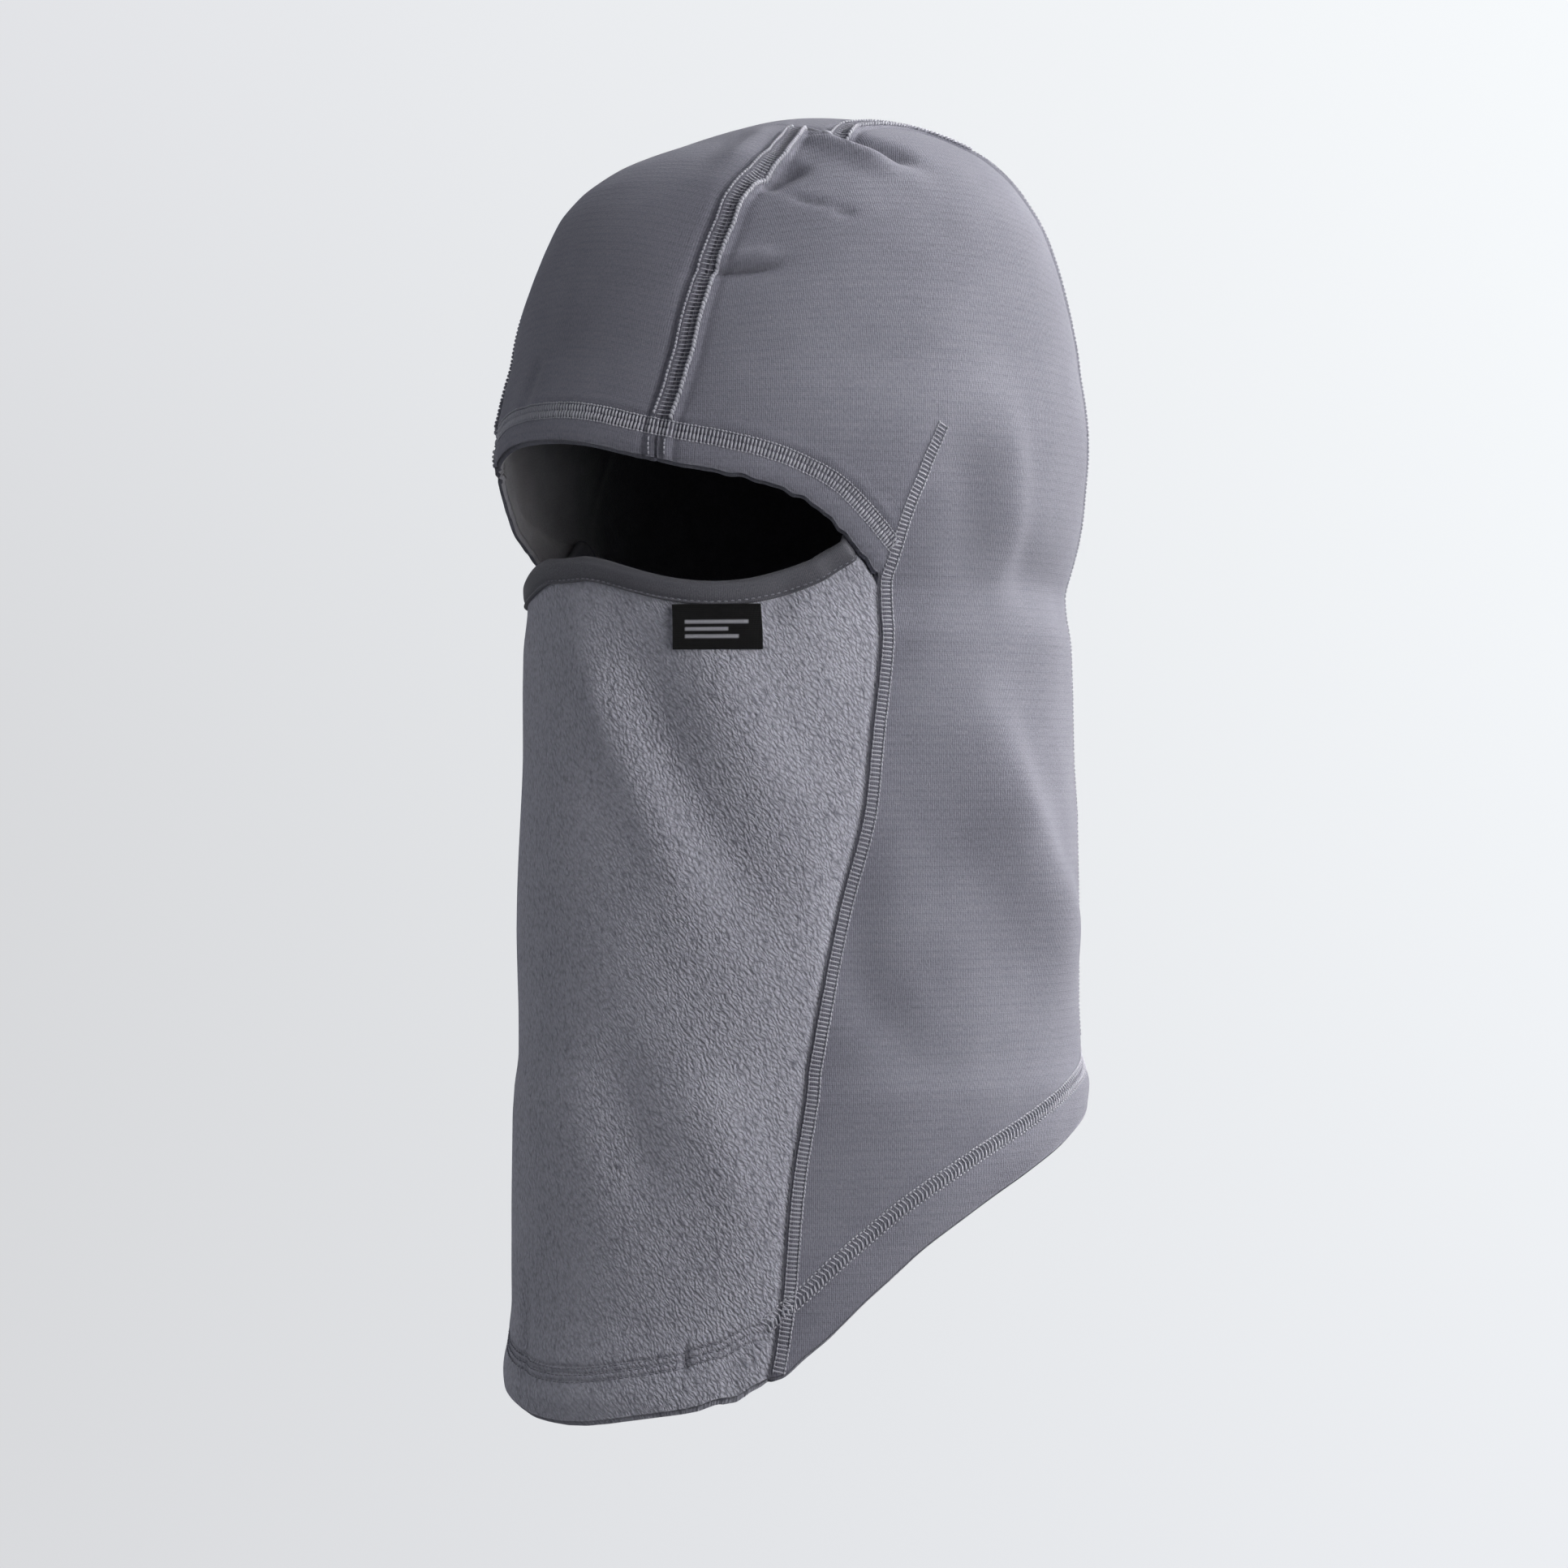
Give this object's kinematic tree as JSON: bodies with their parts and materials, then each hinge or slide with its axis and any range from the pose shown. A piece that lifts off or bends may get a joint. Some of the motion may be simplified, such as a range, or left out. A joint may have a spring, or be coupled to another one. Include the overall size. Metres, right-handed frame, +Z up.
{
  "type": "balaclava",
  "caption": "Stretch knit balaclava with a wide eye opening, a fleece face and neck panel, and a hem that is longer in front.",
  "frame": {"origin": "centre of the head at its widest level, where the head's mount is", "axes": "+Z up to the crown, -Y out of the eye opening at the front, +X towards the wearer's left"},
  "size_m": [0.1608, 0.2007, 0.3988],
  "materials": {
    "shell_knit": "matte",
    "face_fleece": "matte",
    "binding_knit": "matte",
    "thread": "satin",
    "label_black": "satin",
    "care_white": "satin"
  },
  "bodies": {
    "hood": {"crown_gusset": "shell_knit", "left_side_panel": "shell_knit", "right_side_panel": "shell_knit", "face_panel": "face_fleece", "eye_binding": "binding_knit", "left_crown_seam_thread": "thread", "right_crown_seam_thread": "thread", "left_side_seam_thread": "thread", "right_side_seam_thread": "thread", "brow_hem_thread": "thread", "hood_hem_thread": "thread", "face_hem_thread": "thread", "binding_thread": "thread"},
    "cheek_flap": {"cheek_label": "label_black"},
    "care_flap": {"care_label": "care_white"}
  },
  "joints": [
    {"name": "cheek_label_lift", "type": "hinge", "parent": "hood", "child": "cheek_flap", "pos_m": [0.04782, -0.07225, -0.0488], "axis": [-0.6964, -0.7176, 0], "range_deg": [0, 110]},
    {"name": "care_label_lift", "type": "hinge", "parent": "hood", "child": "care_flap", "pos_m": [0, 0.09001, -0.16], "axis": [-1, 0, 0], "range_deg": [0, 110]}
  ]
}
